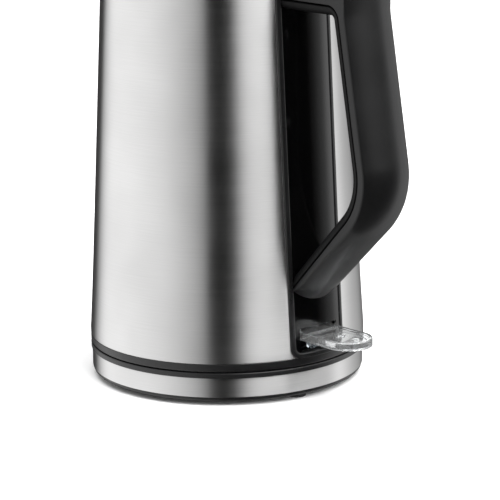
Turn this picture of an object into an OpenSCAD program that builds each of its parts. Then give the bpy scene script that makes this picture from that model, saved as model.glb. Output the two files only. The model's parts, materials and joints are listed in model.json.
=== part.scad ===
// Cordless electric kettle: double-walled brushed steel body on a round power base.
// Millimetres. The origin is on the base's axis at the surface it stands on.
// +Z is up, the handle points to +X and the spout to -X.

/* [Power base] */
// Outer diameter of the power base and of the kettle's foot ring
base_d = 150; // [146:1:156]
// Height of the brushed steel band round the base
band_h = 10.5; // [9:0.5:13]
// How far the rubber feet stand out below the base
foot_drop = 2.5; // [2:0.5:4]
// Height of the round connector post above the base's rim
post_h = 21.3; // [21:0.1:21.6]
// Radius of the connector post
post_r = 12.9; // [12.7:0.1:13]
// Bore of the cord gland
cord_bore_d = 7; // [6:0.5:8]

/* [Body] */
// Height of the steel body above the kettle's underside
body_h = 200; // [196:1:206]
// Outer radius of the steel body at its top edge
body_top_r = 64.9; // [64.5:0.1:66]
// Height of the black foot ring under the steel
ring_h = 4.5; // [4:0.5:6]
// Thickness of the outer steel skin
skin_t = 0.8; // [0.6:0.1:1]
// Gap between the two walls
wall_gap = 3.4; // [3.2:0.1:4]
// Height of the heating plate above the kettle's underside
plate_z = 37; // [36:0.5:40]

/* [Handle] */
// Width of the handle
handle_w = 32.6; // [29:0.1:33.5]
// Outermost corner of the handle's parting line, from the axis
handle_reach = 124; // [119:0.5:126]
// Height of that corner above the kettle's underside
handle_corner_z = 95.8; // [92:0.5:100]
// Lean of the grip, outward going down
grip_lean = 9.9; // [8:0.1:13]
// Slope of the lower arm above horizontal
arm_slope = 46; // [42:1:50]
// Width of the trim plate behind the handle
spine_w = 38; // [36:1:42]

/* [Controls] */
// Width of the clear on and off lever
lever_w = 25; // [22:1:25]
// Reach of the lever from the kettle's axis
lever_reach = 110; // [102:0.5:112]
// Travel of the lid release button
button_travel = 3.5; // [2:0.5:4]

/* [Hidden] */
$fn = 96;
eps = 0.01;

// --- base heights, from the floor ---
base_r = base_d / 2;
cover_rim_h = 2.3;
band_z = foot_drop + cover_rim_h;
rim_z = band_z + band_h;
rim_h = 2.9;
base_top = rim_z + rim_h;
rest_gap = 0.2;
kettle_z = base_top + rest_gap;
band_r = base_r - 0.6;
band_t = 0.6;
foot_ring_r = 66;
foot_angles = [-7, 113, 233];
base_screw_angles = [53, 173, 293];
base_screw_r = 50;
pilot_r = 1.25;
clear_r = 1.7;
counterbore_r = 3.1;
mount_ys = [-8, 8];
mount_hole_r = 2.2;
post_top = base_top + post_h;
slot_r_out = 8;
slot_r_in = 5.7;
earth_r = 2.5;
gland_z = band_z + band_h / 2;
gland_r = 4.8;

// --- kettle heights, above the kettle's underside ---
foot_r = base_r;
shell_foot_r = foot_r + 0.05;
knee_z = 35;
knee_r = shell_foot_r - (knee_z - ring_h) * 0.0557;
pot_offset = skin_t + wall_gap;
pot_t = 0.6;
collar_top = body_h + 13.8;
collar_in_r = 55.4;
coupler_r = 19.95;
coupler_bore = post_r + 0.08;
coupler_low = 8.2;
coupler_high = 24.6;
coupler_roof = post_h + 0.4;
plate_r = shell_r(plate_z) - pot_offset - pot_t - 0.15;
chassis_screw_r = 58;
chassis_angles = [60, 180, 300];

// --- hinge, lever and button ---
hinge_x = 50;
hinge_z = collar_top + 3.4;
pin_r = 1.5;
lug_half = 12;
ear_w = 4.5;
lid_cut_x = 45;
lid_top = collar_top + 6.4;
plug_low = collar_top - 9.8;
catch_low = collar_top - 5.9;
spout_half = 20;
spout_tip_x = -81.5;
lever_pivot = [65, 16.2];
lever_t = 4.5;
lever_low = 14;
lever_pin_r = 1.2;
lever_end_r = lever_w / 2;
slot_half = lever_w / 2 + 0.9;
slot_low = 6.2;
slot_high = 20.8;
button_x = 76;
button_l = 20;
button_w = 15;

// --- handle section and path ---
half_hw = handle_w / 2;
side_t = 4.1;
corner_r = 3;
crown_deg = 30;
crown_r = (half_hw - corner_r + corner_r * sin(crown_deg)) / sin(crown_deg);
shell_peak = side_t + (corner_r - crown_r) * cos(crown_deg) + crown_r;
arm_half = half_hw - 0.6;
shell_t = 2.4;
cover_depth = 5.7;
seam = 0.2;
bend_r = 34;
arm_under = 189;
top_bend_r = 8.5;
bend_step = 0.02;
grip_head_h = 1.5;
arm_top = body_h + 18;
arm_roof_t = 2.4;
arm_side_t = 2.4;
arm_end_r = 11;
plate_stand = 1.25;
arm_start_x = 60;
mount_low_z = 50;
mount_high_z = arm_under + 4.3;
grip_dir = [-sin(grip_lean), cos(grip_lean)];
arm_dir = [-cos(arm_slope), -sin(arm_slope)];
corner_pt = [handle_reach, handle_corner_z];
top_z = arm_under + cover_depth;
top_corner = corner_pt + grip_dir * (top_z - handle_corner_z) / grip_dir[1];
button_top = arm_top + button_travel - 2;
button_flange = arm_top - 2.8;
spring_low = top_z;
spring_r = 3.4;
spring_wire = 0.5;
spring_turns = 5;
turn_low = 90 + arm_slope - grip_lean;
bend_cut = bend_r / tan(turn_low / 2);
turn_top = 90 + grip_lean;
top_cut = top_bend_r / tan(turn_top / 2);

// Outer radius of the steel skin at height z above the kettle's underside
function shell_r(z) = z < knee_z
    ? shell_foot_r + (knee_r - shell_foot_r) * (z - ring_h) / (knee_z - ring_h)
    : knee_r + (body_top_r - knee_r) * (z - knee_z) / (body_h - knee_z);

// Points along an arc, from angle a to angle b
function arc(c, r, a, b, n) = [
    for (i = [0 : n]) c + r * [cos(a + (b - a) * i / n), sin(a + (b - a) * i / n)]];

// Mirrors an outline's points across the X axis and joins both halves
function both_sides(half) = concat(half, [for (i = [len(half) - 1 : -1 : 0]) [half[i][0], -half[i][1]]]);

// Outline of a rectangle with round corners, centred on a point
function round_rect(centre, l, w, r) = concat(
    arc(centre + [l / 2 - r, w / 2 - r], r, 0, 90, 5), arc(centre + [r - l / 2, w / 2 - r], r, 90, 180, 5),
    arc(centre + [r - l / 2, r - w / 2], r, 180, 270, 5),
    arc(centre + [l / 2 - r, r - w / 2], r, 270, 360, 5));

// --- shared shapes ---
module ring(r_out, r_in, z, h) {
    translate([0, 0, z]) difference() {
        cylinder(r = r_out, h = h);
        translate([0, 0, -1]) cylinder(r = r_in, h = h + 2);
    }
}

module revolve(points) {
    rotate_extrude($fn = 120) polygon(points);
}

module at_angles(angles, r) {
    for (a = angles) rotate([0, 0, a]) translate([r, 0, 0]) children();
}

// Pan-head screw standing on its head, with the head at z = 0
module screw(shank_r, head_r, head_h, length) {
    difference() {
        cylinder(r = head_r, h = head_h);
        translate([-head_r * 0.7, -0.4, -1]) cube([head_r * 1.4, 0.8, 1.8]);
    }
    translate([0, 0, head_h - eps]) cylinder(r = shank_r, h = length + eps);
}

// Lies a shape that points along +Z along +X
module along_x() {
    rotate([0, 90, 0]) children();
}

// Lies a shape that points along +Z along +Y
module along_y() {
    rotate([-90, 0, 0]) children();
}

// Box from one corner to the opposite one
module box(low, high) {
    translate(low) cube(high - low);
}

module lift() {
    translate([0, 0, kettle_z]) children();
}

// ================= power base =================

module gland_hole() {
    translate([0, base_r - 7, gland_z]) along_y() cylinder(r = gland_r + 0.4, h = 20);
}

module base_top_plate() {
    color("#1b1b1c") difference() {
        union() {
            revolve([
                [base_r, rim_z], [base_r, base_top - 0.6], [base_r - 0.6, base_top],
                [54.7, base_top], [38.2, base_top + 2.4], [30.8, base_top + 5.7],
                [17.6, base_top + 7], [post_r, base_top + 12.4], [post_r + 0.05, base_top + 10.4],
                [16.4, base_top + 5], [30, base_top + 3.7], [37.6, base_top + 0.4],
                [54.5, base_top - 2], [base_r - 3, base_top - 2], [base_r - 3, rim_z - 3.3],
                [base_r - 1.35, rim_z - 3.3], [base_r - 1.35, rim_z]
            ]);
            at_angles(base_screw_angles, base_screw_r) {
                translate([0, 0, 10.5]) cylinder(r = 3.6, h = base_top - 11.2);
            }
        }
        ring(base_r * 0.962, base_r * 0.953, base_top - 0.8, 2);
        ring(base_r * 0.872, base_r * 0.862, base_top - 0.8, 2);
        at_angles(base_screw_angles, base_screw_r) translate([0, 0, 9]) cylinder(r = pilot_r, h = 7.5);
        translate([0, 0, base_top]) cylinder(r = post_r + 0.05, h = 20);
        gland_hole();
    }
}

module base_steel_band() {
    color("#c9c9cb") difference() {
        ring(band_r, band_r - band_t, band_z, band_h);
        translate([0, base_r - 10, gland_z]) along_y() cylinder(r = gland_r + 0.2, h = 20);
    }
}

module base_bottom_cover() {
    color("#161617") difference() {
        union() {
            revolve([
                [0, foot_drop], [base_r - 1.9, foot_drop], [base_r - 1.2, foot_drop + 0.8],
                [base_r - 1.2, band_z - 0.05], [base_r - 1.35, band_z - 0.05], [base_r - 1.35, 8.2],
                [base_r - 3, 8.2],
                [base_r - 3, foot_drop + 2.2], [0, foot_drop + 2.2]
            ]);
            at_angles(base_screw_angles, base_screw_r) translate([0, 0, foot_drop]) cylinder(r = 4.6, h = 7.8);
            translate([-8, base_r - 12, foot_drop + 1]) cube([16, 3, gland_z - foot_drop - gland_r - 1.2]);
        }
        at_angles(base_screw_angles, base_screw_r) translate([0, 0, -1]) cylinder(r = clear_r, h = 20);
        at_angles(base_screw_angles, base_screw_r) translate([0, 0, -1]) {
            cylinder(r = counterbore_r, h = foot_drop + 5);
        }
        at_angles(foot_angles, foot_ring_r) translate([0, 0, -1]) cylinder(r = 5.05, h = foot_drop + 2);
        gland_hole();
    }
}

module base_connector_post() {
    color("#202021") revolve([
        [earth_r, 14], [19, 14], [19, 16], [post_r, 16], [post_r, post_top - 2],
        [slot_r_out, post_top - 2], [slot_r_out, 16.2], [slot_r_in, 16.2], [slot_r_in, post_top - 2.4],
        [earth_r, post_top - 2.4]
    ]);
}

module base_connector_cap() {
    color("#232324") {
        revolve([
            [slot_r_out, post_top - 2], [post_r, post_top - 2], [post_r, post_top - 1.2],
            [post_r - 0.4, post_top - 0.4], [post_r - 1.4, post_top], [slot_r_out + 0.8, post_top],
            [slot_r_out, post_top - 0.6]
        ]);
        revolve([
            [earth_r, post_top - 2.4], [slot_r_in, post_top - 2.4], [slot_r_in, post_top - 1.4],
            [slot_r_in - 0.5, post_top - 0.9], [earth_r + 0.5, post_top - 0.9], [earth_r, post_top - 1.4]
        ]);
    }
}

module base_contacts() {
    color("#b8923c") {
        ring(earth_r - 0.02, earth_r - 0.3, 17, 17);
        ring(slot_r_out - 0.02, slot_r_out - 0.3, 20, 3);
        ring(slot_r_out - 0.02, slot_r_out - 0.3, 27, 3);
        for (a = [0 : 120 : 240]) rotate([0, 0, a]) box([9.5, -2, 8], [11.5, 2, 13.98]);
    }
}

module base_feet() {
    color("#101010") at_angles(foot_angles, foot_ring_r) {
        cylinder(r = 5, h = foot_drop + 0.95);
    }
}

module base_screws() {
    color("#a9a9ab") at_angles(base_screw_angles, base_screw_r) {
        translate([0, 0, foot_drop + 4 - 1.9]) screw(1.2, 2.8, 1.85, 8);
    }
}

module cord_gland() {
    color("#141415") translate([0, base_r - 10, gland_z]) along_y() difference() {
        union() {
            cylinder(r = gland_r, h = 10.4);
            translate([0, 0, 4]) cylinder(r = gland_r + 0.35, h = 2);
        }
        translate([0, 0, -1]) cylinder(d = cord_bore_d, h = 20);
    }
}

module base_wiring() {
    wires = [["#7a4a20", -2.6], ["#2f5fa8", 0], ["#5f8f2f", 2.6]];
    for (w = wires) color(w[0]) translate([w[1], 14, gland_z - 0.6]) along_y() {
        cylinder(r = 1.1, h = base_r - 10.4 - 14);
    }
}

// ================= coupler =================

module kettle_coupler() {
    color("#1a1a1a") lift() revolve([
        [17.1, coupler_low], [coupler_r, coupler_low], [coupler_r, 17.9], [21.8, 17.9], [21.8, 20.1],
        [coupler_r, 20.1], [coupler_r, coupler_high], [1.9, coupler_high], [1.9, coupler_roof],
        [slot_r_in + 0.5, coupler_roof], [slot_r_in + 0.5, 2.2], [slot_r_out - 0.6, 2.2],
        [slot_r_out - 0.6, coupler_roof], [coupler_bore, coupler_roof], [coupler_bore, 13.2]
    ]);
}

module coupler_earth_pin() {
    color("#c2a04a") lift() revolve([
        [0, 1.4], [1.1, 1.4], [1.9, 2.6], [1.9, coupler_high], [0, coupler_high]
    ]);
}

module coupler_ring_contacts() {
    color("#b87a4a") lift() {
        ring(slot_r_out - 0.38, slot_r_out - 0.6, 3, 2);
        ring(slot_r_out - 0.38, slot_r_out - 0.6, 9.5, 2);
    }
}

// ================= body =================

// Solid bounded by the steel skin, grown by an offset, between two heights
module skin_solid(grow, low, high) {
    revolve([
        [0, low], [shell_r(low) + grow, low], [shell_r(max(low, knee_z)) + grow, max(low, knee_z)],
        [shell_r(high) + grow, high], [0, high]
    ]);
}

module body_shell() {
    color("#cfcfd1") lift() difference() {
        revolve([
            [shell_foot_r, ring_h + 0.1], [knee_r, knee_z], [body_top_r, body_h],
            [body_top_r - skin_t, body_h], [knee_r - skin_t, knee_z], [shell_foot_r - skin_t, ring_h + 0.1]
        ]);
        box([50, -slot_half, 0], [90, slot_half, slot_high + 0.8]);
        for (y = mount_ys) translate([50, y, mount_low_z]) along_x() cylinder(r = mount_hole_r, h = 40);
        for (y = mount_ys) translate([50, y, mount_high_z]) along_x() cylinder(r = mount_hole_r, h = 40);
        translate([50, 0, 180]) along_x() cylinder(r = 4, h = 40);
    }
}

module inner_pot() {
    pot_low = plate_z - 4;
    pot_top = body_h - 2;
    color("#c4c4c6") lift() difference() {
        revolve([
            [shell_r(pot_low) - pot_offset, pot_low], [shell_r(pot_top) - pot_offset, pot_top - pot_t],
            [body_top_r - skin_t - 0.1, pot_top - pot_t], [body_top_r - skin_t - 0.1, pot_top],
            [shell_r(pot_top) - pot_offset - pot_t, pot_top], [shell_r(pot_low) - pot_offset - pot_t, pot_low]
        ]);
        translate([50, 0, 186]) along_x() cylinder(r = 2.5, h = 12.2);
    }
}

module heating_plate() {
    color("#d2d2d4") lift() revolve([
        [0, plate_z], [plate_r - 0.8, plate_z], [plate_r - 0.8, plate_z - 3.5], [plate_r, plate_z - 3.5],
        [plate_r, plate_z + 0.8], [0, plate_z + 0.8]
    ]);
}

module heat_spreader() {
    color("#b9bbbd") lift() translate([0, 0, plate_z - 3]) cylinder(r = 58, h = 2.99);
}

module heating_element() {
    color("#8f9092") lift() rotate([0, 0, 35]) {
        translate([0, 0, plate_z - 6.31]) rotate_extrude(angle = 290) {
            translate([40, 0]) circle(r = 3.3, $fn = 40);
        }
        for (a = [4, 286]) rotate([0, 0, a]) translate([40, 0, plate_z - 12]) cylinder(r = 1.5, h = 4);
    }
}

module pot_seal() {
    color("#d8d8d2") lift() ring(plate_r - 0.9, 59, plate_z - 2.8, 2.7);
}

module bottom_ring() {
    color("#151516") lift() difference() {
        union() {
            revolve([
                [foot_r - 4, 0], [foot_r - 0.8, 0], [foot_r, 0.8], [foot_r, ring_h],
                [shell_foot_r - skin_t - 0.15, ring_h], [shell_foot_r - skin_t - 0.4, 10],
                [shell_foot_r - skin_t - 1.9, 10], [shell_foot_r - skin_t - 1.9, 6.6],
                [52, 6.6], [52, 4.6], [foot_r - 4, 4.6]
            ]);
            at_angles(chassis_angles, chassis_screw_r) translate([0, 0, 4.6]) cylinder(r = 4, h = 9);
        }
        box([68, -slot_half, 5.2], [90, slot_half, 12]);
        at_angles(chassis_angles, chassis_screw_r) translate([0, 0, 3]) cylinder(r = pilot_r, h = 9);
    }
}

module bottom_cover() {
    color("#121213") lift() difference() {
        revolve([
            [foot_r - 4.1, 2.2], [44, 2.2], [36, 7.6], [coupler_r + 0.05, 7.6], [coupler_r + 0.05, 17.6],
            [22.5, 17.6], [22.5, 9.8], [37.2, 9.8], [45.2, 4.4], [foot_r - 4.1, 4.4]
        ]);
        at_angles(chassis_angles, chassis_screw_r) cylinder(r = clear_r, h = 9);
        at_angles(chassis_angles, chassis_screw_r) cylinder(r = counterbore_r, h = 3.4);
    }
}

module chassis_screws() {
    color("#a9a9ab") lift() at_angles(chassis_angles, chassis_screw_r) {
        translate([0, 0, 2.3]) screw(1.2, 2.8, 1.05, 7);
    }
}

module control_unit() {
    color("#e4e0d4") lift() difference() {
        union() {
            translate([0, 0, coupler_high + 0.4]) cylinder(r = 21, h = plate_z - 5.4 - coupler_high);
            box([10, -9, coupler_high + 0.4], [33, 9, plate_z - 6]);
        }
        for (y = [-11, 11]) translate([-4, y, plate_z - 6.4]) cylinder(r = 8.4, h = 5);
    }
}

module bimetal_discs() {
    color("#b9b09a") lift() for (y = [-11, 11]) translate([-4, y, plate_z - 6]) {
        revolve([[0, 0.9], [7.8, 0], [7.8, 0.35], [0, 1.25]]);
    }
}

module control_wiring() {
    color("#c63b2e") lift() {
        for (a = [39, 321]) rotate([0, 0, a]) translate([21.2, 0, plate_z - 11]) along_x() {
            cylinder(r = 0.9, h = 17.2);
        }
        rotate([0, 0, 180]) translate([21.2, 0, plate_z - 11]) along_x() cylinder(r = 0.9, h = 34);
    }
}

module indicator_lamp() {
    color("#d9e4ea") lift() translate([69, 0, 9]) along_x() {
        cylinder(r = 1.9, h = 3);
        translate([0, 0, -2]) cylinder(r = 2.3, h = 2 + eps);
    }
}

module lever_bracket() {
    color("#26282a") lift() difference() {
        union() {
            for (s = [-1, 1]) box([59, min(s * 13.2, s * 16), 6.7], [70.5, max(s * 13.2, s * 16), 21]);
            box([60.5, -13.3, 6.7], [66.9, 13.3, 8.1]);
        }
        translate([lever_pivot[0], -20, lever_pivot[1]]) along_y() cylinder(r = lever_pin_r, h = 40);
    }
}

module lever_pivot_pin() {
    color("#bdbdbf") lift() translate([lever_pivot[0], -15.9, lever_pivot[1]]) along_y() {
        cylinder(r = lever_pin_r, h = 31.8);
    }
}

// Outline of the trim plate across Y and Z, with round lower corners
function plate_outline(half_w, low, high, r) = concat(
    arc([-half_w + r, low + r], r, 180, 270, 6), arc([half_w - r, low + r], r, 270, 360, 6),
    [[half_w, high], [-half_w, high]]);

// Curved plate on the skin's +X side, between two offsets from the skin
module trim_plate(half_w, low, high, r, back, proud) {
    intersection() {
        difference() {
            skin_solid(proud, low - 1, high + 1);
            skin_solid(back, low - 2, high + 2);
        }
        translate([40, 0, 0]) rotate([90, 0, 90]) linear_extrude(60) {
            polygon(plate_outline(half_w, low, high, r));
        }
    }
}

module spine_frame() {
    color("#1f2021") lift() difference() {
        trim_plate(spine_w / 2, ring_h + 0.2, body_h - 0.5, 6, 0.1, 1.2);
        translate([40, 0, 0]) rotate([90, 0, 90]) linear_extrude(60) {
            polygon(plate_outline(spine_w / 2 - 3.2, ring_h + 1.6, body_h + 5, 4));
        }
    }
}

module spine_panel() {
    color("#0c0c0d") lift() difference() {
        trim_plate(spine_w / 2 - 3.3, ring_h + 1.7, body_h - 0.5, 4, 0.1, 0.7);
        box([60, -slot_half + 0.4, slot_low], [90, slot_half - 0.4, slot_high]);
        for (y = mount_ys) translate([50, y, mount_low_z]) along_x() cylinder(r = mount_hole_r, h = 40);
        for (y = mount_ys) translate([50, y, mount_high_z]) along_x() cylinder(r = mount_hole_r, h = 40);
    }
}

// ================= handle =================

// Half outlines of the handle's section: x outward from the parting line, y across
function shell_half(inset, edge) = concat(
    [[edge, half_hw - inset]],
    arc([side_t, half_hw - corner_r], corner_r - inset, 90, crown_deg, 3),
    arc([side_t + (corner_r - crown_r) * cos(crown_deg), 0], crown_r - inset, crown_deg * 0.7, 0, 3));

function cover_half(inset) = concat(
    arc([4 - cover_depth, half_hw - 4.3], 4 - inset, 180, 90, 4), [[-seam - inset, half_hw - 0.3 - inset]]);

function cover_hollow(inset) = [
    [2.2 - cover_depth + inset, half_hw - 4 - inset], [-inset, half_hw - 3 - inset]];

// Sweeps two sections along the handle's path: the first on its straight runs and the second, a
// hair larger, on its bends, so that a run's end is always buried in the bend that follows it
module handle_sweep() {
    overlap = 0.5;
    low_end = corner_pt + arm_dir * 78;
    low_bend = corner_pt + arm_dir * bend_cut;
    high_bend = corner_pt + grip_dir * bend_cut;
    top_bend = top_corner - grip_dir * top_cut;
    bend_centre = low_bend + [arm_dir[1], -arm_dir[0]] * bend_r;
    top_centre = [top_corner[0] - top_cut, top_z - top_bend_r];
    module run(from, to) {
        d = to - from;
        translate([from[0], 0, from[1]]) rotate([0, 90 - atan2(d[1], d[0]), 0]) {
            translate([0, 0, -overlap]) linear_extrude(norm(d) + 2 * overlap) children();
        }
    }
    module bend(centre, r, start, sweep) {
        translate([centre[0], 0, centre[1]]) rotate([90, 0, 0]) rotate([0, 0, start]) {
            rotate_extrude(angle = sweep) translate([r, 0]) children();
        }
    }
    run(low_end, low_bend) children(0);
    bend(bend_centre, bend_r, -(90 - arm_slope), 90 - arm_slope + grip_lean) children(1);
    run(high_bend, top_bend) children(0);
    bend(top_centre, top_bend_r, grip_lean, 90 - grip_lean) children(1);
    run([top_centre[0], top_z], [arm_start_x, top_z]) children(0);
}

// Housing of the release button: the grip's outer face carried on upward, over the top arm
module button_housing() {
    edge = shell_t + seam;
    bend_end = top_corner - grip_dir * top_cut;
    bend_top = [top_corner[0] - top_cut, top_z];
    grip_out = [grip_dir[1], -grip_dir[0]];
    outer_t = shell_peak - 0.02;
    top_share = (arm_top - arm_end_r - corner_pt[1] + (outer_t - arm_end_r) * sin(grip_lean)) / grip_dir[1];
    end_centre = corner_pt + grip_dir * top_share + grip_out * (outer_t - arm_end_r);
    intersection() {
        rotate([90, 0, 0]) translate([0, 0, -half_hw]) linear_extrude(handle_w) polygon(concat(
            [[arm_start_x, top_z + seam], [arm_start_x, arm_top - 2], [arm_start_x + 2, arm_top]],
            arc(end_centre, arm_end_r, 90, grip_lean, 8),
            [bend_end + grip_out * outer_t - grip_dir, bend_end + grip_out * edge - grip_dir],
            arc(bend_top - [0, top_bend_r], top_bend_r + edge, grip_lean, 90, 6)));
        union() {
            box([arm_start_x - 1, -arm_half, top_z - 1], [bend_end[0] - 2, arm_half, arm_top + 1]);
            translate([bend_end[0], 0, bend_end[1]]) rotate([0, -grip_lean, 0]) translate([0, 0, -5]) {
                linear_extrude(60) polygon(both_sides(shell_half(-0.01, -20)));
            }
        }
    }
}

module handle_shell() {
    color("#2d2d2e") lift() difference() {
        union() {
            difference() {
                handle_sweep() {
                    polygon(both_sides(shell_half(0, seam)));
                    polygon(both_sides(shell_half(-bend_step, seam - bend_step)));
                }
                handle_sweep() {
                    polygon(both_sides(shell_half(shell_t, -seam)));
                    polygon(both_sides(shell_half(shell_t - bend_step, -seam - bend_step)));
                }
            }
            for (y = mount_ys) translate([77.5, y, mount_low_z]) along_x() cylinder(r = 3.6, h = 9);
            at_grip_screws() translate([0, 0, 2.4]) cylinder(r = 3.4, h = cover_depth + 6.4);
            button_housing();
        }
        box([62, arm_side_t - arm_half, top_z - 1], [100, arm_half - arm_side_t, arm_top - arm_roof_t]);
        translate([0, 0, top_z]) linear_extrude(30) {
            polygon(round_rect([button_x, 0], button_l + 0.6, button_w + 0.6, 5.3));
        }
        for (y = mount_ys) translate([70, y, mount_low_z]) along_x() cylinder(r = 1.95, h = 12);
        at_grip_screws() translate([0, 0, 2]) cylinder(r = 1.32, h = 9);
        skin_solid(plate_stand, 20, body_h);
        translate([0, 0, body_h - 1]) cylinder(r = body_top_r + 0.6, h = 30);
    }
}

module handle_cover() {
    color("#171718") lift() difference() {
        handle_sweep() {
            polygon(both_sides(cover_half(0)));
            polygon(both_sides(cover_half(-bend_step)));
        }
        difference() {
            handle_sweep() {
                polygon(both_sides(cover_hollow(0)));
                polygon(both_sides(cover_hollow(-bend_step)));
            }
            box([50, -20, arm_under - 4], [82, 20, top_z + 5]);
        }
        for (y = mount_ys) translate([60, y, mount_high_z]) along_x() cylinder(r = 2.1, h = 19);
        for (y = mount_ys) translate([60, y, mount_low_z]) along_x() cylinder(r = 3.75, h = 30);
        at_grip_screws() {
            translate([0, 0, -1]) cylinder(r = 2.75, h = grip_head_h + 1);
            cylinder(r = 1.45, h = cover_depth);
        }
        skin_solid(plate_stand, 20, body_h);
    }
}

// Places a shape at each of the grip's screws, standing on its head's top and pointing outward
module at_grip_screws() {
    low = corner_pt + grip_dir * bend_cut;
    high = top_corner - grip_dir * top_cut;
    for (share = [0.18, 0.82]) {
        p = low + (high - low) * share;
        translate([p[0], 0, p[1]]) rotate([0, 90 - grip_lean, 0]) translate([0, 0, -cover_depth]) children();
    }
}

module handle_cover_screws() {
    color("#8d8d8f") lift() at_grip_screws() translate([0, 0, 0.1]) screw(1.3, 2.6, grip_head_h - 0.2, 8);
}

module handle_mount_screws() {
    color("#a9a9ab") lift() for (y = mount_ys) {
        translate([shell_r(mount_low_z) - 3.6, y, mount_low_z]) along_x() screw(1.9, 3.3, 1.9, 9);
        translate([shell_r(mount_high_z) - 3.7, y, mount_high_z]) along_x() screw(1.9, 3.3, 1.9, 9);
    }
}

// ================= top of the body =================

module top_collar() {
    color("#1c1c1d") lift() difference() {
        union() {
            revolve([
                [body_top_r + 0.1, body_h + 0.1], [body_top_r - 0.9, body_h + 0.1],
                [body_top_r - 0.9, body_h - 1.8], [59.6, body_h - 1.8], [collar_in_r, body_h + 2],
                [collar_in_r, collar_top],
                [62.4, collar_top], [body_top_r - 0.6, collar_top - 2.2]
            ]);
            intersection() {
                translate([0, 0, collar_top - 2.8]) cylinder(r = collar_in_r + 1, h = 2.8);
                box([lid_cut_x + 0.8, -60, 0], [80, 60, 400]);
            }
            rotate([90, 0, 0]) translate([0, 0, -lug_half]) linear_extrude(2 * lug_half) polygon([
                [hinge_x - 3.9, collar_top - 2], [hinge_x + 12, collar_top - 2],
                [hinge_x + 12, collar_top - 0.4], [hinge_x + 5, hinge_z + 2.2],
                [hinge_x - 3, hinge_z + 2.2], [hinge_x - 3.9, hinge_z + 1.2]
            ]);
        }
        for (s = [-1, 1]) {
            box([42, min(s * (lug_half + 0.05), s * 18), collar_top - 1],
                [hinge_x + 6, max(s * (lug_half + 0.05), s * 18), hinge_z + 9]);
        }
        box([-70, -spout_half, body_h + 1], [-50, spout_half, collar_top + 5]);
        translate([hinge_x, -40, hinge_z]) along_y() cylinder(r = pin_r, h = 80);
        box([50, -5.3, collar_top - 11.8], [68, 5.3, collar_top - 5.5]);
        box([lid_cut_x, -4.8, collar_top - 3], [lid_cut_x + 4, 4.8, collar_top - 1.3]);
    }
}

// Outline of the spout seen from above, wider or narrower by an inset
function spout_outline(inset) = concat(
    [[-50, 30 - inset * 1.2], [-58, 26 - inset * 1.2], [-66, 16.5 - inset * 1.2]],
    arc([-76.5 + inset * 1.3, 0], 5 - inset, 125, 235, 6),
    [[-66, inset * 1.2 - 16.5], [-58, inset * 1.2 - 26], [-50, inset * 1.2 - 30]]);

// Solid under a side profile, drawn in X and Z, across the whole width
module side_profile(points) {
    rotate([90, 0, 0]) translate([0, 0, -40]) linear_extrude(80) polygon(points);
}

module spout() {
    color("#1c1c1d") lift() difference() {
        intersection() {
            translate([0, 0, body_h - 20]) linear_extrude(60) polygon(spout_outline(0));
            side_profile([
                [-50, body_h - 14], [-66, body_h - 14], [spout_tip_x, collar_top - 4],
                [spout_tip_x, collar_top], [-50, collar_top]
            ]);
        }
        intersection() {
            translate([0, 0, body_h - 20]) linear_extrude(60) polygon(spout_outline(2));
            side_profile([
                [-50, body_h + 1], [-66, body_h + 1.4], [spout_tip_x, collar_top - 2.4],
                [spout_tip_x, 300], [-50, 300]
            ]);
        }
        side_profile([
            [spout_tip_x - 9, collar_top - 2], [-76, collar_top - 2], [-68, collar_top + 5],
            [spout_tip_x - 9, collar_top + 5]
        ]);
        skin_solid(0.15, body_h - 20, body_h);
        translate([0, 0, body_h - 1]) cylinder(r = body_top_r + 0.15, h = 30);
    }
}

module spout_filter_frame() {
    x = -59.4;
    color("#d9d9d6") lift() difference() {
        box([x, -spout_half + 0.3, body_h + 1.1], [x + 2.4, spout_half - 0.3, collar_top - 0.6]);
        box([x - 1, -spout_half + 2.6, body_h + 3.2], [x + 4, spout_half - 2.6, collar_top - 2.6]);
    }
}

module spout_filter_mesh() {
    x = -58.4;
    pitch = 2.2;
    color("#c8c8c6") lift() {
        difference() {
            box([x, -spout_half + 2.6, body_h + 3.2], [x + 0.4, spout_half - 2.6, collar_top - 2.6]);
            for (i = [-7 : 7], j = [0 : 2]) {
                box([x - 1, i * pitch - 0.7, body_h + 4 + j * pitch],
                    [x + 2, i * pitch + 0.7, body_h + 5.4 + j * pitch]);
            }
        }
    }
}

module steam_duct() {
    lean = atan((shell_r(50) - shell_r(150)) / 100);
    half = 4.3;
    low = 42;
    back_x = shell_r(low) - skin_t - 3.05;
    color("#cfcfca") lift() translate([back_x, 0, low]) rotate([0, -lean, 0]) difference() {
        box([0, -half, 0], [2.6, half, 145]);
        box([0.5, 0.5 - half, -1], [2.1, half - 0.5, 143]);
        box([-1, 1.8 - half, 141], [1, half - 1.8, 144]);
    }
}

module hinge_pin() {
    color("#c0c0c2") lift() translate([hinge_x, -lug_half - ear_w, hinge_z]) along_y() {
        cylinder(r = pin_r, h = 2 * (lug_half + ear_w));
    }
}

// ================= release button =================

module lid_button() {
    color("#262627") lift() {
        translate([0, 0, button_flange - eps]) linear_extrude(button_top - button_flange - 0.6) {
            polygon(round_rect([button_x, 0], button_l, button_w, 5));
        }
        translate([0, 0, button_top - 0.65]) linear_extrude(0.65) {
            polygon(round_rect([button_x, 0], button_l - 1.2, button_w - 1.2, 4.4));
        }
        translate([0, 0, button_flange - 1.5]) linear_extrude(1.5) {
            polygon(round_rect([button_x, 0], button_l + 3, button_w + 3, 6));
        }
        translate([button_x, 0, button_flange - 5]) cylinder(r = 1.8, h = 4);
    }
}

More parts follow.
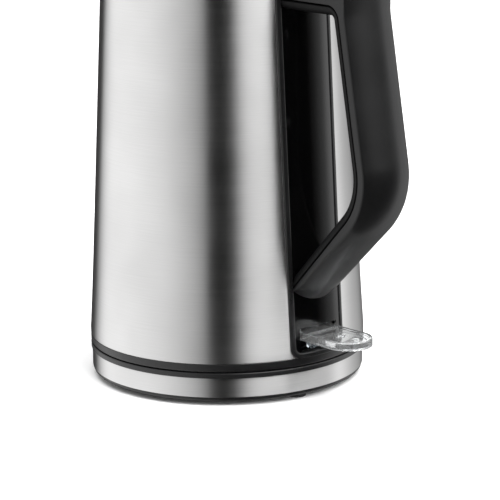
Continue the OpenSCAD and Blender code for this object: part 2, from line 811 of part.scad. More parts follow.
// The hook's tip stands in front of the lid catch's lip, just below it
module button_hook() {
    arm_low = collar_top - 7.7;
    color("#b5b5b7") lift() {
        box([lid_cut_x + 2.8, -4, arm_low], [button_x - 4, 4, arm_low + 1]);
        box([lid_cut_x + 2.8, -4, arm_low + 1 - eps], [lid_cut_x + 3.8, 4, catch_low - 0.2]);
        box([button_x - 5, -4, arm_low + 1 - eps], [button_x - 4, 4, button_flange - 1.5]);
    }
}

// A coil spring as a swept tube
module button_spring() {
    sides = 6;
    steps = spring_turns * 14;
    height = button_flange - 1.6 - spring_low - 2 * spring_wire;
    points = [for (i = [0 : steps], k = [0 : sides - 1])
        let (a = 360 * spring_turns * i / steps, b = 360 * k / sides, r = spring_r + spring_wire * cos(b))
        [r * cos(a), r * sin(a), height * i / steps + spring_wire * sin(b)]];
    faces = concat(
        [[for (k = [0 : sides - 1]) k]],
        [for (i = [0 : steps - 1], k = [0 : sides - 1])
            let (n = (k + 1) % sides)
            [i * sides + k, (i + 1) * sides + k, (i + 1) * sides + n, i * sides + n]],
        [[for (k = [sides - 1 : -1 : 0]) steps * sides + k]]);
    color("#9a9a9c") lift() translate([button_x, 0, spring_low + spring_wire]) {
        polyhedron(points, faces, convexity = 6);
    }
}

// ================= power lever =================

module lever_blade(inset, z, h) {
    x0 = lever_pivot[0];
    end_x = lever_reach - lever_end_r;
    translate([0, 0, z]) linear_extrude(h) polygon(concat(
        [[x0, lever_end_r - inset]],
        arc([end_x, 0], lever_end_r - inset, 90, -90, 24), [[x0, -lever_end_r + inset]]));
}

module power_lever() {
    color([0.85, 0.88, 0.9, 0.4]) lift() difference() {
        union() {
            lever_blade(0, lever_low, lever_t);
            translate([lever_pivot[0], -lever_end_r, lever_pivot[1]]) along_y() cylinder(r = 3.4, h = lever_w);
        }
        intersection() {
            lever_blade(1.5, lever_low + lever_t - 0.8, 2);
            box([80, -20, 0], [120, 20, 40]);
        }
        translate([lever_pivot[0], -20, lever_pivot[1]]) along_y() cylinder(r = lever_pin_r + 0.05, h = 40);
        box([lever_pivot[0] - 5, -4.3, lever_low - 3], [lever_pivot[0] - 2.4, 4.3, 30]);
    }
}

module trip_arm() {
    color("#3a3c3e") lift() {
        box([36, -4, 14.6], [lever_pivot[0] - 2.45, 4, 17.6]);
        box([36, -4, 17.55], [38.4, 4, 21.5]);
    }
}

// ================= lid =================

module lid_front() {
    intersection() {
        children();
        box([-80, -80, 0], [lid_cut_x, 80, 400]);
    }
}

module lid_cover() {
    color("#1c1c1d") lift() difference() {
        union() {
            lid_front() revolve([
                [0, lid_top - 2], [41, lid_top - 2], [41, lid_top], [52, lid_top - 1], [57.6, lid_top - 3.4],
                [59, lid_top - 6], [57, lid_top - 6], [56, lid_top - 4.6],
                [50.5, lid_top - 3.2], [0, lid_top - 3.2]
            ]);
            for (s = [-1, 1]) {
                y0 = min(s * (lug_half + 0.3), s * (lug_half + ear_w));
                y1 = max(s * (lug_half + 0.3), s * (lug_half + ear_w));
                translate([hinge_x, y0, hinge_z]) along_y() cylinder(r = 3.4, h = y1 - y0);
                box([lid_cut_x - 4, y0, hinge_z - 2], [hinge_x, y1, hinge_z + 1.6]);
            }
        }
        translate([hinge_x, -40, hinge_z]) along_y() cylinder(r = pin_r + 0.05, h = 80);
    }
}

module lid_insert() {
    color("#cfcfd1") lift() revolve([
        [0, lid_top - 1.98], [40.8, lid_top - 1.98], [40.8, lid_top - 0.4], [39.6, lid_top],
        [0, lid_top + 0.4]
    ]);
}

module lid_plug() {
    plug_high = collar_top + 1.5;
    color("#2a2a2b") lift() difference() {
        lid_front() revolve([
            [0, plug_low], [51.5, plug_low], [53.4, plug_low + 2], [54.1, plug_high], [52.5, plug_high],
            [51.9, plug_low + 2.6], [50.6, plug_low + 1.6], [0, plug_low + 1.6]
        ]);
        ring(60, 52.8, plug_low + 3.2, 2.2);
    }
    color("#2a2a2b") lift() difference() {
        intersection() {
            cylinder(r = 52.2, h = 400);
            box([lid_cut_x - 1.6, -60, plug_low + 1.5], [lid_cut_x, 60, collar_top + 3.1]);
        }
        for (s = [-1, 1]) {
            box([40, min(s * (lug_half + 0.1), s * 17), hinge_z - 2.2],
                [60, max(s * (lug_half + 0.1), s * 17), hinge_z + 3]);
        }
    }
}

module lid_seal() {
    color("#e2e2de") lift() lid_front() ring(54.8, 52.85, plug_low + 3.3, 2);
}

module lid_catch() {
    color("#b5b5b7") lift() {
        box([lid_cut_x + 0.02, -4, collar_top - 8], [lid_cut_x + 0.8, 4, collar_top - 3.2]);
        box([lid_cut_x + 0.79, -4, collar_top - 4.6], [lid_cut_x + 5.6, 4, collar_top - 3.8]);
        box([lid_cut_x + 4.8, -4, catch_low], [lid_cut_x + 5.6, 4, collar_top - 4.59]);
    }
}

base_top_plate();
base_steel_band();
base_bottom_cover();
base_connector_post();
base_connector_cap();
base_contacts();
base_feet();
base_screws();
cord_gland();
base_wiring();
kettle_coupler();
coupler_earth_pin();
coupler_ring_contacts();
body_shell();
inner_pot();
heating_plate();
heat_spreader();
heating_element();
pot_seal();
bottom_ring();
bottom_cover();
control_unit();
bimetal_discs();
control_wiring();
indicator_lamp();
lever_bracket();
lever_pivot_pin();
spine_frame();
spine_panel();
handle_shell();
handle_cover();
handle_cover_screws();
handle_mount_screws();
chassis_screws();
top_collar();
spout();
spout_filter_frame();
spout_filter_mesh();
steam_duct();
hinge_pin();
button_spring();
power_lever();
trip_arm();
lid_cover();
lid_insert();
lid_plug();
lid_seal();
lid_catch();
lid_button();
button_hook();
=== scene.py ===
"""Electric kettle on its power base: the looks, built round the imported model. Lengths are in metres, except
where a comment says millimetres."""
import json
from math import cos, degrees, exp, hypot, pi, radians, sin, sqrt, tan

import bmesh
import bpy
from mathutils import Matrix, Vector


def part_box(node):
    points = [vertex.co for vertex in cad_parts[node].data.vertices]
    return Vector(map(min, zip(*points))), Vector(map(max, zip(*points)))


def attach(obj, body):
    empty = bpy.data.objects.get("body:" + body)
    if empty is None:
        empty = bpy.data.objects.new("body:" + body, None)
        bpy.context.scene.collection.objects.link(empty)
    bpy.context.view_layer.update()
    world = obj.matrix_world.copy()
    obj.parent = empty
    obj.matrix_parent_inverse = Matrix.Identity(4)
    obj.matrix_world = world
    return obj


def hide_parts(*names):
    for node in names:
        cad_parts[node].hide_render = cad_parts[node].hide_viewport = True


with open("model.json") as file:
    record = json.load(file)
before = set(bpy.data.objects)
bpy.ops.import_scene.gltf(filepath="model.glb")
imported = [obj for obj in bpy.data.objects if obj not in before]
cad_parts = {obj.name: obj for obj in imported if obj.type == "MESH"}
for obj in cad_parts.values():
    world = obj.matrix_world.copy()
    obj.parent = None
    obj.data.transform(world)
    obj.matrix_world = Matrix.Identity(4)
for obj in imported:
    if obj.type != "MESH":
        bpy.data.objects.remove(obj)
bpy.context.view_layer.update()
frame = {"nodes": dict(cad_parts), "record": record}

MM = 0.001

# --- heights and radii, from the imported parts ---
KETTLE_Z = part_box("bottom_ring")[0].z
BASE_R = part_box("base_top_plate")[1].x
RING_TOP = KETTLE_Z + 4.5 * MM
COLLAR_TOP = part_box("body_shell")[1].z + 13.8 * MM
LID_TOP = COLLAR_TOP / MM + 6.4  # millimetres

# --- the steel skin, in millimetres: a straight taper from SKIN_FOOT up, and a flare that fades upward ---
SKIN_FOOT = 8
SKIN_R = 74.66
SKIN_TAPER = 0.0498
FLARE = 0.39
FLARE_FADE = 25
SKIN_T = 0.8
SKIN_HIGH = 200

# --- how meshes are made ---
DOUBLE = 1e-6
SLIVER = 1e-7
ROUND_STEPS = 288
EDGE_ANGLE = 50
SMOOTH_ANGLE = 60


def above(z_mm):
    """Height in the frame of a point given in millimetres above the kettle's underside."""
    return KETTLE_Z + z_mm * MM


def skin_r(z):
    """Outer radius of the steel skin at height z."""
    up = (z - KETTLE_Z) / MM - SKIN_FOOT
    return (SKIN_R - SKIN_TAPER * up + FLARE * exp(-up / FLARE_FADE)) * MM


# ================= outlines and meshes =================

def arc(cx, cy, r, start, end, steps):
    """Points on an arc, angles in degrees."""
    turns = [radians(start + (end - start) * i / steps) for i in range(steps + 1)]
    return [(cx + r * cos(a), cy + r * sin(a)) for a in turns]


def mirrored(half):
    """A half outline of (t, y) points that ends at y = 0, followed by its mirror image."""
    return half + [(t, -y) for t, y in reversed(half[:-1])]


def rounded(points, steps=4):
    """A closed outline of (x, y, corner radius) points, with its corners rounded."""
    out = []
    most = 0.49  # a corner takes less than half of each edge
    for i, (x, y, r) in enumerate(points):
        if r <= 0:
            out.append((x, y))
            continue
        here = Vector((x, y))
        before = Vector(points[i - 1][:2]) - here
        after = Vector(points[(i + 1) % len(points)][:2]) - here
        turn = before.angle(after)
        reach = min(r / tan(turn / 2), before.length * most, after.length * most)
        a, b = here + before.normalized() * reach, here + after.normalized() * reach
        for k in range(steps + 1):
            t = k / steps
            p = a * (1 - t) ** 2 + here * 2 * t * (1 - t) + b * t * t
            out.append((p.x, p.y))
    return out


def new_object(name, data):
    """An object in the scene that holds a mesh, a camera or a light."""
    piece = bpy.data.objects.new(name, data)
    bpy.context.scene.collection.objects.link(piece)
    return piece


def build(name, verts, faces, sharp=40):
    """A mesh object from points and faces, shaded smooth up to the sharp angle in degrees."""
    mesh = bpy.data.meshes.new(name)
    mesh.from_pydata([tuple(v) for v in verts], [], faces)
    return cleaned(new_object(name, mesh), sharp)


def cleaned(piece, sharp=40):
    """Merges doubled points, turns the faces outward and marks the sharp edges."""
    bm = bmesh.new()
    bm.from_mesh(piece.data)
    bmesh.ops.remove_doubles(bm, verts=bm.verts, dist=DOUBLE)
    bmesh.ops.dissolve_degenerate(bm, edges=bm.edges, dist=SLIVER)
    bmesh.ops.recalc_face_normals(bm, faces=bm.faces)
    for f in bm.faces:
        f.smooth = True
    for e in bm.edges:
        e.smooth = len(e.link_faces) == 2 and degrees(e.calc_face_angle(0)) < sharp
    bm.to_mesh(piece.data)
    bm.free()
    return piece


def settled(piece):
    """Applies the piece's modifiers to its mesh."""
    graph = bpy.context.evaluated_depsgraph_get()
    graph.update()
    mesh = bpy.data.meshes.new_from_object(piece.evaluated_get(graph))
    piece.modifiers.clear()
    piece.data = mesh
    return piece


def combine(piece, others, operation, sharp=40):
    """Cuts the other meshes from the piece, or joins them to it, and removes them."""
    for other in others:
        mod = piece.modifiers.new("cut", "BOOLEAN")
        mod.operation = operation
        mod.solver = "EXACT"
        mod.object = other
    settled(piece)
    for other in others:
        bpy.data.objects.remove(other)
    return cleaned(piece, sharp)


def soften(piece, width, segments=3):
    """Rounds the piece's sharp edges."""
    mod = piece.modifiers.new("round", "BEVEL")
    mod.width = width
    mod.segments = segments
    mod.limit_method = "ANGLE"
    mod.angle_limit = radians(EDGE_ANGLE)
    return cleaned(settled(piece), SMOOTH_ANGLE)


def skinned(name, rings, closed_path=False, sharp=40):
    """Skins a row of closed rings with the same number of points each, and caps the ends of an open row."""
    count = len(rings[0])
    verts = [p for ring in rings for p in ring]
    rows = len(rings) if closed_path else len(rings) - 1
    faces = []
    for i in range(rows):
        a, b = i * count, ((i + 1) % len(rings)) * count
        for k in range(count):
            n = (k + 1) % count
            faces.append((a + k, b + k, b + n, a + n))
    if not closed_path:
        faces.append(tuple(range(count)))
        faces.append(tuple(len(verts) - 1 - k for k in range(count)))
    return build(name, verts, faces, sharp)


def lathe(name, outline, steps=ROUND_STEPS):
    """Turns a closed outline of (radius, height) points about the Z axis."""
    turns = [radians(360 * i / steps) for i in range(steps)]
    rings = [[(r * cos(a), r * sin(a), z) for r, z in outline] for a in turns]
    return skinned(name, rings, closed_path=True)


def lathe_mm(name, outline, lift=0.0):
    """The same from millimetres, raised by lift metres."""
    return lathe(name, [(r * MM, lift + z * MM) for r, z in outline])


def prism(name, outline, low, high):
    """A straight prism over an outline of (x, y) points."""
    return skinned(name, [[(x, y, z) for x, y in outline] for z in (low, high)])


def rod(name, start, end, r, sides=32):
    """A round bar between two points, with a small chamfer at both ends."""
    start, end = Vector(start), Vector(end)
    axis = (end - start).normalized()
    turn = axis.to_track_quat("Z", "Y")
    chamfer = min(0.15 * MM, r * 0.3)
    rings = []
    for at, radius in ((0, r - chamfer), (chamfer, r), (-chamfer, r), (0, r - chamfer)):
        centre = (start if len(rings) < 2 else end) + axis * at
        ring = []
        for k in range(sides):
            a = 2 * pi * k / sides
            ring.append(centre + turn @ Vector((radius * cos(a), radius * sin(a), 0)))
        rings.append(ring)
    return skinned(name, rings)


def cross_rod(name, x, half, z, r, sides):
    """A round bar along Y, centred on the XZ plane."""
    return rod(name, (x, -half, z), (x, half, z), r, sides)


def posts(name, angles, reach_mm, low, high, r, sides):
    """Upright round bars at those angles in degrees, all as far from the axis."""
    out = []
    for a in angles:
        x, y = reach_mm * cos(radians(a)) * MM, reach_mm * sin(radians(a)) * MM
        out.append(rod(name, (x, y, low), (x, y, high), r, sides))
    return out


def block(name, low, high):
    """A box between two corners, for cutting."""
    (x0, y0, z0), (x1, y1, z1) = low, high
    return prism(name, [(x0, y0), (x1, y0), (x1, y1), (x0, y1)], z0, z1)


def finish_piece(piece, body, material, node):
    """Gives a piece its material and its body, and hides the CAD node that it stands for."""
    piece.data.materials.clear()
    piece.data.materials.append(material)
    level = piece.modifiers.new("level_flats", "WEIGHTED_NORMAL")
    level.keep_sharp = True
    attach(piece, body)
    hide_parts(node)


# ================= materials =================

def add(tree, kind, inputs=(), **settings):
    """Adds a shader node, sets its properties, and sets or links its inputs."""
    made = tree.nodes.new("ShaderNode" + kind)
    for key, value in settings.items():
        setattr(made, key, value)
    for key, value in dict(inputs).items():
        if isinstance(value, bpy.types.NodeSocket):
            tree.links.new(value, made.inputs[key])
        else:
            made.inputs[key].default_value = value
    return made


def new_material(name):
    """A material with a Principled shader, and the object's own coordinates."""
    material = bpy.data.materials.new(name)
    material.use_nodes = True
    tree = material.node_tree
    place = add(tree, "TexCoord").outputs["Object"]
    return material, tree, tree.nodes["Principled BSDF"], place


def grey(value, warm=0.0):
    """A grey as a colour with alpha, with a little more red and less blue when it is warm."""
    return (value * (1 + warm), value, value * (1 - warm), 1)


def shade(colour, factor):
    """A colour made darker or lighter, no brighter than white."""
    return tuple(min(1.0, c * factor) for c in colour) + (1,)


def noise(tree, place, size, detail=2.0, rough=0.5):
    """Noise whose lumps are about size metres across."""
    inputs = {"Vector": place, "Scale": 1 / size, "Detail": detail, "Roughness": rough}
    return add(tree, "TexNoise", inputs).outputs["Fac"]


def spread(tree, value, low, high, start=0.3, end=0.7):
    """Maps a noise value onto a range."""
    made = add(tree, "MapRange", {0: value, 1: start, 2: end, 3: low, 4: high})
    return made.outputs[0]


def tinted(tree, value, dark, light, start=0.3, end=0.7):
    """A colour that varies between two tones with a noise value."""
    ramp = add(tree, "ValToRGB", {0: value})
    stops = ramp.color_ramp.elements
    stops[0].position, stops[0].color = start, dark
    stops[1].position, stops[1].color = end, light
    return ramp.outputs["Color"]


def worn_gloss(tree, shader, first, second, low, high):
    """Lets the roughness vary between two values with the sum of two noises."""
    both = add(tree, "Math", {0: first, 1: second}, operation="ADD")
    gloss = spread(tree, both.outputs[0], low, high, 0.75, 1.25)
    tree.links.new(gloss, shader.inputs["Roughness"])


def bumped(tree, shader, height, depth, strength=1.0):
    """Links a bump of that depth in metres to the shader's normal."""
    made = add(tree, "Bump", {"Height": height, "Distance": depth, "Strength": strength})
    tree.links.new(made.outputs["Normal"], shader.inputs["Normal"])


def brush_lines(tree, place, lines):
    """Noise drawn out into long streaks round the Z axis, as fine as lines metres apart."""
    xyz = add(tree, "SeparateXYZ", {0: place})
    flat = add(tree, "CombineXYZ", {0: xyz.outputs[0], 1: xyz.outputs[1]})
    round_it = add(tree, "VectorMath", {0: flat.outputs[0]}, operation="NORMALIZE")
    long_way = add(tree, "VectorMath", {0: round_it.outputs[0], "Scale": 2.2}, operation="SCALE")
    up = add(tree, "Math", {0: xyz.outputs[2], 1: 1 / lines}, operation="MULTIPLY")
    up_only = add(tree, "CombineXYZ", {2: up.outputs[0]})
    streaks = add(tree, "VectorMath", {0: long_way.outputs[0], 1: up_only.outputs[0]}, operation="ADD")
    return noise(tree, streaks.outputs[0], 1.0, 4.0, 0.65)


def brushed(name, tone, roughness, lines, anisotropy):
    """Steel brushed round the Z axis: long fine lines with small changes of tone and gloss."""
    material, tree, shader, place = new_material(name)
    contrast, warm = 0.05, 0.004
    fine = brush_lines(tree, place, lines)
    broad = noise(tree, place, 45 * MM)
    dark, light = grey(tone * (1 - contrast), warm), grey(tone * (1 + contrast), warm)
    tree.links.new(tinted(tree, fine, dark, light), shader.inputs["Base Color"])
    worn_gloss(tree, shader, fine, broad, roughness * 0.86, roughness * 1.16)
    shader.inputs["Metallic"].default_value = 1.0
    shader.inputs["Anisotropic"].default_value = anisotropy
    shader.inputs["Anisotropic Rotation"].default_value = 0.25
    tangent = add(tree, "Tangent", direction_type="RADIAL", axis="Z")
    tree.links.new(tangent.outputs[0], shader.inputs["Tangent"])
    bumped(tree, shader, fine, 0.012 * MM, 0.5)
    return material


def metal(name, colour, roughness, size=1.2 * MM):
    """Plain drawn, cast or turned metal with slight stains and scuffs."""
    material, tree, shader, place = new_material(name)
    stains = noise(tree, place, size * 6, 4)
    scuffs = noise(tree, place, size, 5, 0.7)
    base = tinted(tree, stains, shade(colour, 0.88), shade(colour, 1))
    tree.links.new(base, shader.inputs["Base Color"])
    gloss = spread(tree, scuffs, roughness * 0.8, roughness * 1.25)
    tree.links.new(gloss, shader.inputs["Roughness"])
    shader.inputs["Metallic"].default_value = 1.0
    bumped(tree, shader, scuffs, 0.02 * MM, 0.35)
    return material


def moulded(name, colour, roughness, grain=0.35 * MM, depth=0.02 * MM, specular=0.5):
    """Moulded plastic, rubber or silicone: a fine grain, and handled patches that are a little glossier."""
    material, tree, shader, place = new_material(name)
    pores = noise(tree, place, grain, 3, 0.6)
    patches = noise(tree, place, 28 * MM, 3)
    base = tinted(tree, patches, shade(colour, 0.86), shade(colour, 1.12))
    tree.links.new(base, shader.inputs["Base Color"])
    worn_gloss(tree, shader, pores, patches, roughness * 0.88, min(1.0, roughness * 1.14))
    shader.inputs["Specular IOR Level"].default_value = specular
    bumped(tree, shader, pores, depth, 0.6)
    return material


def clear(name, colour, roughness, haze=0.0):
    """Clear acrylic with a very slight moulded ripple; haze is the share of it that isn't clear."""
    material, tree, shader, place = new_material(name)
    ripple = noise(tree, place, 7 * MM)
    base = tinted(tree, ripple, shade(colour, 1), shade(colour, 1.03))
    tree.links.new(base, shader.inputs["Base Color"])
    gloss = spread(tree, ripple, roughness, roughness * 2.0)
    tree.links.new(gloss, shader.inputs["Roughness"])
    shader.inputs["Transmission Weight"].default_value = 1 - haze
    shader.inputs["IOR"].default_value = 1.49
    bumped(tree, shader, ripple, 0.03 * MM, 0.3)
    return material


STEEL = brushed("brushed_steel", 0.64, 0.35, 0.35 * MM, 1.0)
STEEL_BAND = brushed("brushed_band", 0.64, 0.35, 0.3 * MM, 1.0)
STEEL_DISC = brushed("brushed_disc", 0.5, 0.32, 0.3 * MM, 0.85)
STEEL_PLAIN = metal("plain_steel", (0.56, 0.56, 0.57), 0.28)
STEEL_POT = metal("pot_steel", (0.80, 0.80, 0.81), 0.20, 9 * MM)
ALUMINIUM = metal("cast_aluminium", (0.68, 0.69, 0.70), 0.5, 2 * MM)
BRASS = metal("brass", (0.66, 0.46, 0.19), 0.3)
BLACK = moulded("black_satin", (0.007, 0.007, 0.0073), 0.34)
BLACK_MATTE = moulded("black_matte", (0.004, 0.004, 0.0041), 0.5, depth=0.03 * MM, specular=0.14)
GLOSS = moulded("black_gloss", (0.0012, 0.0012, 0.0013), 0.12, 6 * MM, 0.006 * MM)
BORDER = moulded("border_satin", (0.0075, 0.0075, 0.0078), 0.30, 0.3 * MM, 0.01 * MM, 0.4)
SOFT_TOUCH = moulded("soft_touch", (0.0045, 0.0045, 0.0047), 0.32, 0.22 * MM, 0.012 * MM, 0.30)
RUBBER = moulded("rubber", (0.016, 0.016, 0.016), 0.78, depth=0.05 * MM)
SILICONE = moulded("silicone", (0.62, 0.62, 0.59), 0.48)
CREAM = moulded("control_plastic", (0.66, 0.62, 0.52), 0.45)
WIRE = moulded("wire_cover", (0.33, 0.10, 0.07), 0.45)
CLEAR = clear("clear_plastic", (0.95, 0.965, 0.97), 0.02, haze=0.06)
LAMP = clear("lamp_lens", (0.82, 0.90, 0.96), 0.12)

SLOT_MATERIALS = {
    "steel": STEEL, "steel_plain": STEEL_PLAIN, "aluminium": ALUMINIUM, "brass": BRASS,
    "black_plastic": BLACK, "gloss_black": GLOSS, "soft_grey": SOFT_TOUCH, "rubber": RUBBER,
    "silicone": SILICONE, "control_plastic": CREAM, "wire": WIRE, "clear_plastic": CLEAR, "lamp": LAMP,
}

NODE_MATERIALS = {"inner_pot": STEEL_POT, "heating_plate": STEEL_POT}


def dress_cad_nodes():
    """Gives every CAD node its slot's material and a small rounding on its edges."""
    for part in frame["record"]["subparts"]:
        node, slot = part["node"], part["material_slot"]
        piece = frame["nodes"][node]
        piece.data.materials.clear()
        piece.data.materials.append(NODE_MATERIALS.get(node, SLOT_MATERIALS[slot]))
        weld = piece.modifiers.new("weld", "WELD")
        weld.merge_threshold = DOUBLE
        bevel = piece.modifiers.new("edges", "BEVEL")
        bevel.width = 0.15 * MM
        bevel.segments = 2
        bevel.limit_method = "ANGLE"
        bevel.angle_limit = radians(35)
        bevel.harden_normals = True


# ================= body and trim plate =================

# --- the lever's slot in the skin, in millimetres above the kettle's underside ---
SLOT_HALF = 13.4
SLOT_HIGH = 20.8

# --- the trim plate behind the handle, in millimetres: its border stands FRAME_H off the skin ---
SPINE_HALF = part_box("spine_frame")[1].y / MM - 0.5
SPINE_LOW = (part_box("spine_frame")[0].z - KETTLE_Z) / MM
SPINE_HIGH = (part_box("spine_frame")[1].z - KETTLE_Z) / MM
FRAME_W = 2.8
FRAME_H = 1.2
FRAME_CORNER = 6.0
FRAME_SECTION = [  # (across the border, off the skin)
    (0, 0.05), (0, 0.75), (0.13, 1.05), (0.45, FRAME_H), (FRAME_W - 1.0, FRAME_H),
    (FRAME_W - 0.35, 1.05), (FRAME_W, 0.75), (FRAME_W, 0.05),
]
PANEL_H = 0.7
PANEL_CORNER = 4.0


def on_skin(y, z, height):
    """Point of the +X side that stands height above the skin, in metres; all inputs in millimetres."""
    r = skin_r(above(z)) + height * MM
    return (sqrt(r * r - (y * MM) ** 2), y * MM, above(z))


def body_skin():
    """The brushed steel skin, with turned-in edges and the lever's slot at its foot."""
    heights = [4.6, 4.9, 5.0, 6, 8, 12, 17, 23, 30, 40, 55, 75, 100, 125, 150, 175]
    heights += [SKIN_HIGH - 0.3, SKIN_HIGH]
    edge = [0.25, 0.03] + [0] * (len(heights) - 4) + [0.03, 0.25]
    widest = BASE_R + 0.05 * MM
    outer = [(min(skin_r(above(z)), widest) - e * MM, above(z)) for z, e in zip(heights, edge)]
    inner = [(min(skin_r(above(z)), widest) - SKIN_T * MM, above(z)) for z in reversed(heights)]
    piece = lathe("body_skin", outer + inner)
    half = SLOT_HALF * MM
    slot = block("slot_cut", (50 * MM, -half, above(-5)), (90 * MM, half, above(SLOT_HIGH + 0.8)))
    combine(piece, [slot], "DIFFERENCE")
    finish_piece(piece, "kettle", STEEL, "body_shell")


def spine_path():
    """The trim border's path of (y, z) points, each with the way to its inside."""
    w, low, high, r = SPINE_HALF, SPINE_LOW, SPINE_HIGH, FRAME_CORNER
    steps = 24
    turns = [radians(a) for a in range(0, 91, 10)]
    side = [((-w, high - (high - low - r) * i / steps), (1, 0)) for i in range(steps)]
    side += [((-w + r - r * cos(a), low + r - r * sin(a)), (cos(a), sin(a))) for a in turns]
    foot = [((y, low), (0, 1)) for y in (-8, -4, 0, 4, 8)]
    return side + foot + [((-y, z), (-ny, nz)) for (y, z), (ny, nz) in reversed(side)]


def spine_frame():
    """The grey border of the trim plate: a rounded bar run down one side, round the foot and up the other."""
    rings = []
    for (y, z), (ny, nz) in spine_path():
        rings.append([on_skin(y + ny * u, z + nz * u, h) for u, h in FRAME_SECTION])
    piece = skinned("spine_border", rings, sharp=50)
    finish_piece(piece, "kettle", BORDER, "spine_frame")


def cell_faces(i, j, cols, under, cells):
    """The faces of one cell of a curved plate: above, below, and a wall where no cell is beside it."""
    a, b, c, d = i * cols + j, i * cols + j + 1, (i + 1) * cols + j + 1, (i + 1) * cols + j
    faces = [(a, b, c, d), (d + under, c + under, b + under, a + under)]
    for beside, e, f in (((i - 1, j), a, b), ((i, j + 1), b, c), ((i + 1, j), c, d), ((i, j - 1), d, a)):
        if beside not in cells:
            faces.append((f, e, e + under, f + under))
    return faces


def thick_patch(name, outer, inner, kept):
    """A curved plate between two grids of points, without the cells for which kept(row, column) is false."""
    rows, cols = len(outer), len(outer[0])
    verts = [p for row in outer for p in row] + [p for row in inner for p in row]
    cells = {(i, j) for i in range(rows - 1) for j in range(cols - 1) if kept(i, j)}
    faces = []
    for i, j in sorted(cells):
        faces += cell_faces(i, j, cols, rows * cols, cells)
    return build(name, verts, faces)


def spine_panel():
    """The gloss panel inside the border: rounded at the foot, and open where the lever comes out."""
    w, low, r = SPINE_HALF - FRAME_W - 0.1, SPINE_LOW + 1.5, PANEL_CORNER
    slot, middle = SLOT_HALF - 0.4, 13
    turns = [radians(a) for a in range(0, 91, 10)]
    rows = [(low + r - r * cos(a), w - r + r * sin(a)) for a in turns] + [(z, w) for z in (12.5, 15, 17.5)]
    slot_rows, slot_last = len(rows), 2 * middle + 1
    rows += [(SLOT_HIGH + (SPINE_HIGH - SLOT_HIGH) * i / 40, w) for i in range(41)]
    outer, inner = [], []
    for z, half in rows:
        edge = min(slot, half - 0.05)
        beside = (half + edge) / 2
        across = [-half, -beside] + [edge * (k / middle - 1) for k in range(slot_last)] + [beside, half]
        outer.append([on_skin(y, z, PANEL_H) for y in across])
        inner.append([on_skin(y, z, 0.1) for y in across])
    in_slot = range(2, slot_last + 1)
    piece = thick_patch("spine_face", outer, inner, lambda i, j: i >= slot_rows or j not in in_slot)
    soften(piece, 0.18 * MM, 2)
    finish_piece(piece, "kettle", GLOSS, "spine_panel")


# ================= handle =================

# --- the parting line between the handle's shell and its inner cover, as (x, z) in millimetres: a lower arm
# that rises at SLOPE, a bend at CORNER, a grip that leans in by LEAN, and a sharp bend into the top arm ---
LEAN = radians(9.9)
SLOPE = radians(46)
CORNER = Vector((124.0, 95.8))
GRIP_WAY = Vector((-sin(LEAN), cos(LEAN)))
ARM_WAY = Vector((cos(SLOPE), sin(SLOPE)))
ARM_RUN = 86
BEND_R = 34.0
TOP_BEND_R = 8.5
PARTING_Z = 194.7
INSIDE_X = 60
BEND_CUT = BEND_R / tan((pi / 2 + SLOPE - LEAN) / 2)
LOW_BEND = CORNER - ARM_WAY * BEND_CUT
HIGH_BEND = CORNER + GRIP_WAY * BEND_CUT
TOP_CORNER = CORNER + GRIP_WAY * ((PARTING_Z - CORNER.y) / GRIP_WAY.y)
TOP_CUT = TOP_BEND_R / tan((pi / 2 + LEAN) / 2)
TOP_BEND = TOP_CORNER - GRIP_WAY * TOP_CUT
TOP_PIVOT = Vector((TOP_CORNER.x - TOP_CUT, PARTING_Z - TOP_BEND_R))

# --- the handle's section, in millimetres and degrees: PEAK outward from the parting line ---
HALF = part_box("handle_shell")[1].y / MM
SHELL_TOP = (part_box("handle_shell")[1].z - KETTLE_Z) / MM
HOUSING_R = 11.0
PEAK = 10.0
ARM_THINNER = 3.4
CROWN = 38
CROWN_TOP = 12
CORNER_R = 1.6
WALL = 2.4
COVER_DEEP = 5.7
COVER_R = 4.0
COVER_STEP = 0.3
COVER_WALL = 2.2
SEAM = 0.2
PARTING_SHIFT = 0.5
SKIN_STAND = 1.3

# --- the button's hole in the top arm, in millimetres ---
HOLE_X = (65.7, 86.3)
HOLE_HALF = 7.8
HOLE_R = 5.3

# --- steps round the handle's top, and how many of them the outer line spends on its straight stretch ---
TURN_STEPS = 20
TURN_STRAIGHT = 8


def outward(way):
    """The direction square to a way up the handle, away from the body."""
    return Vector((way.y, -way.x))


def grip_stations():
    """The lower arm, its bend and the grip: point on the parting line, way out, depth, crown angle."""
    low_end = CORNER - ARM_WAY * ARM_RUN
    centre = LOW_BEND - outward(ARM_WAY) * BEND_R
    arm_steps, bend_steps, steps = 24, 28, 30
    out = []
    for i in range(arm_steps):
        share = 1 - i / arm_steps
        edge = LOW_BEND + (low_end - LOW_BEND) * share
        out.append((edge, outward(ARM_WAY), PEAK - ARM_THINNER * share, CROWN))
    for i in range(bend_steps + 1):
        a = -(pi / 2 - SLOPE) + (pi / 2 - SLOPE + LEAN) * i / bend_steps
        way = Vector((cos(a), sin(a)))
        out.append((centre + way * BEND_R, way, PEAK, CROWN))
    for i in range(1, steps + 1):
        out.append((HIGH_BEND + (TOP_BEND - HIGH_BEND) * i / steps, outward(GRIP_WAY), PEAK, CROWN))
    return out


def outer_turn():
    """The handle's outer line at its top: on up the grip, then over into the top arm."""
    n = outward(GRIP_WAY)
    rise = (SHELL_TOP - HOUSING_R - CORNER.y + (PEAK - HOUSING_R) * sin(LEAN)) / GRIP_WAY.y
    centre = CORNER + GRIP_WAY * rise + n * (PEAK - HOUSING_R)
    start = TOP_BEND + n * PEAK
    end = centre + n * HOUSING_R
    steps = TURN_STRAIGHT + 1
    over = TURN_STEPS - steps
    out = [start + (end - start) * i / steps for i in range(1, steps)]
    turns = [LEAN + (pi / 2 - LEAN) * i / over for i in range(over + 1)]
    return out + [centre + Vector((cos(a), sin(a))) * HOUSING_R for a in turns]


